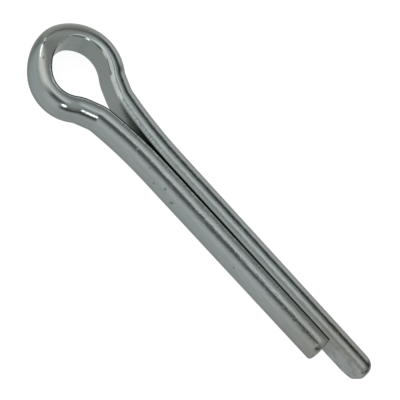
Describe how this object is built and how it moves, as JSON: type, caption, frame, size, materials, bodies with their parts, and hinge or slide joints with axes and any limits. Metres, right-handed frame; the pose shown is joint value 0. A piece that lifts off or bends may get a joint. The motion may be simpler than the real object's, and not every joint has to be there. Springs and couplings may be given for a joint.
{
  "type": "cotter pin",
  "caption": "Split cotter pin folded from half-round steel wire, with a rounded eye and one leg longer than the other.",
  "frame": {"origin": "on the shank's axis, at the plane where the eye seats on the rim of the pin's hole", "axes": "+X along the shank from the eye to the tips, +Y towards the longer leg, +Z square to the loop of the eye; the pin lies flat"},
  "size_m": [0.0577, 0.0115, 0.0056],
  "materials": {
    "zinc_plated_steel": "bright zinc plating over drawn wire, satin, with fine lengthwise drawing marks"
  },
  "bodies": {
    "root": {"cotter_pin": "zinc_plated_steel"}
  },
  "joints": []
}
